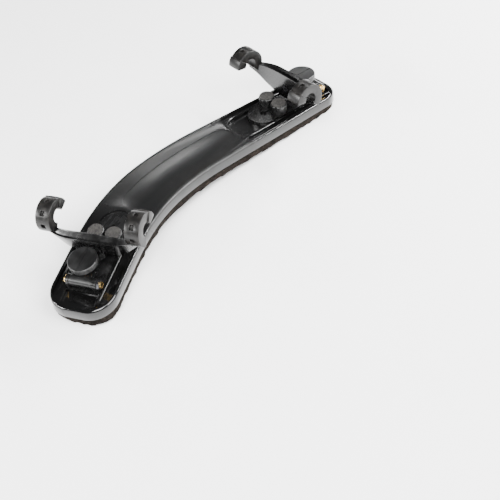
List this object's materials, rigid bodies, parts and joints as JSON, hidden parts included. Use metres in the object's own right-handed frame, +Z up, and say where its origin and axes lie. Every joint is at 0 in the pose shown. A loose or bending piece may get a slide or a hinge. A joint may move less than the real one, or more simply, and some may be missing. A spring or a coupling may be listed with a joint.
{
  "type": "violin shoulder rest",
  "caption": "Curved black shoulder rest for a violin: arched shell on a foam pad, sliding carriages with tilting crescent forks and rubber hooks.",
  "frame": {"origin": "bottom centre of the whole assembly at rest, on the surface that the foam pad stands on", "axes": "+X along the body towards its narrower end, +Y towards the outside of the bend, +Z up"},
  "size_m": [0.317, 0.1106, 0.0672],
  "materials": {
    "shell_plastic": "glossy moulded black",
    "pad_foam": "open-cell foam",
    "slider_plastic": "satin moulded black",
    "grey_cap": "fine grain, dusty grey",
    "brass": "turned, bright",
    "dark_steel": "black oxide",
    "disc_plastic": "fine grain black",
    "hook_rubber": "soft matt black",
    "fork_plastic": "satin moulded black"
  },
  "bodies": {
    "base": {"body_shell": "shell_plastic", "foam_pad": "pad_foam"},
    "left_carriage": {"left_slider": "slider_plastic", "left_hinge_screw": "brass", "left_hinge_nut": "brass"},
    "left_leg_a": {"left_release_leg_a": "slider_plastic", "left_post_cap_a": "grey_cap"},
    "left_leg_b": {"left_release_leg_b": "slider_plastic", "left_post_cap_b": "grey_cap"},
    "left_fork_arm": {"left_lever": "fork_plastic", "left_threaded_insert": "brass", "left_fork": "fork_plastic", "left_fork_screw": "dark_steel", "left_hook_sleeve_a": "hook_rubber", "left_hook_sleeve_b": "hook_rubber"},
    "left_screw": {"left_height_screw": "brass"},
    "left_disc": {"left_thumb_disc": "disc_plastic"},
    "right_carriage": {"right_slider": "slider_plastic", "right_hinge_screw": "brass", "right_hinge_nut": "brass"},
    "right_leg_a": {"right_release_leg_a": "slider_plastic", "right_post_cap_a": "grey_cap"},
    "right_leg_b": {"right_release_leg_b": "slider_plastic", "right_post_cap_b": "grey_cap"},
    "right_fork_arm": {"right_lever": "fork_plastic", "right_threaded_insert": "brass", "right_fork": "fork_plastic", "right_fork_screw": "dark_steel", "right_hook_sleeve_a": "hook_rubber", "right_hook_sleeve_b": "hook_rubber"},
    "right_screw": {"right_height_screw": "brass"},
    "right_disc": {"right_thumb_disc": "disc_plastic"}
  },
  "joints": [
    {"name": "left_slide", "type": "slide", "parent": "base", "child": "left_carriage", "axis": [-0.9571, -0.2511, -0.1447], "range_m": [-0.0036, 0.0116]},
    {"name": "left_pinch_a", "type": "hinge", "parent": "left_carriage", "child": "left_leg_a", "pos_m": [-0.08344, 0.00968, 0.02772], "axis": [0.1495, 0, -0.9888], "range_deg": [0, 2.4], "stiffness_Nm_per_rad": 0.5},
    {"name": "left_pinch_b", "type": "hinge", "parent": "left_carriage", "child": "left_leg_b", "pos_m": [-0.08543, 0.01742, 0.02742], "axis": [-0.1495, 0, 0.9888], "range_deg": [0, 2.4], "stiffness_Nm_per_rad": 0.5},
    {"name": "left_disc_spin", "type": "hinge", "parent": "left_screw", "child": "left_disc", "pos_m": [-0.1268, 0.00301, 0.03583], "axis": [0.1495, 0, -0.9888], "range_deg": [-361, 1801]},
    {"name": "left_fork_tilt", "type": "hinge", "parent": "left_carriage", "child": "left_fork_arm", "pos_m": [-0.13486, 0.0005, 0.02439], "axis": [0.2483, -0.968, 0.0375], "range_deg": [-4.6, 22.94]},
    {"name": "left_screw_travel", "type": "slide", "parent": "left_fork_arm", "child": "left_screw", "axis": [0.1495, 0, -0.9888], "range_m": [-0.0008, 0.004]},
    {"name": "right_slide", "type": "slide", "parent": "base", "child": "right_carriage", "axis": [0.9638, -0.2529, -0.0843], "range_m": [-0.0206, 0.0036]},
    {"name": "right_pinch_a", "type": "hinge", "parent": "right_carriage", "child": "right_leg_a", "pos_m": [0.09381, -0.00313, 0.01922], "axis": [-0.0872, 0, -0.9962], "range_deg": [0, 2.4], "stiffness_Nm_per_rad": 0.5},
    {"name": "right_pinch_b", "type": "hinge", "parent": "right_carriage", "child": "right_leg_b", "pos_m": [0.0918, -0.01087, 0.01939], "axis": [0.0872, 0, 0.9962], "range_deg": [0, 2.4], "stiffness_Nm_per_rad": 0.5},
    {"name": "right_disc_spin", "type": "hinge", "parent": "right_screw", "child": "right_disc", "pos_m": [0.13455, -0.01762, 0.03021], "axis": [-0.0872, 0, -0.9962], "range_deg": [-361, 1801]},
    {"name": "right_fork_tilt", "type": "hinge", "parent": "right_carriage", "child": "right_fork_arm", "pos_m": [0.14331, -0.02015, 0.0193], "axis": [0.2519, 0.9675, -0.022], "range_deg": [-4.6, 22.94]},
    {"name": "right_screw_travel", "type": "slide", "parent": "right_fork_arm", "child": "right_screw", "axis": [-0.0872, 0, -0.9962], "range_m": [-0.0008, 0.004]}
  ],
  "couplings": [
    {"joint": "left_pinch_b", "follows": "left_pinch_a", "ratio": 1},
    {"joint": "left_fork_tilt", "follows": "left_screw_travel", "rad_per_m": 100},
    {"joint": "left_disc_spin", "follows": "left_screw_travel", "rad_per_m": 7854},
    {"joint": "right_pinch_b", "follows": "right_pinch_a", "ratio": 1},
    {"joint": "right_fork_tilt", "follows": "right_screw_travel", "rad_per_m": 100},
    {"joint": "right_disc_spin", "follows": "right_screw_travel", "rad_per_m": 7854}
  ]
}
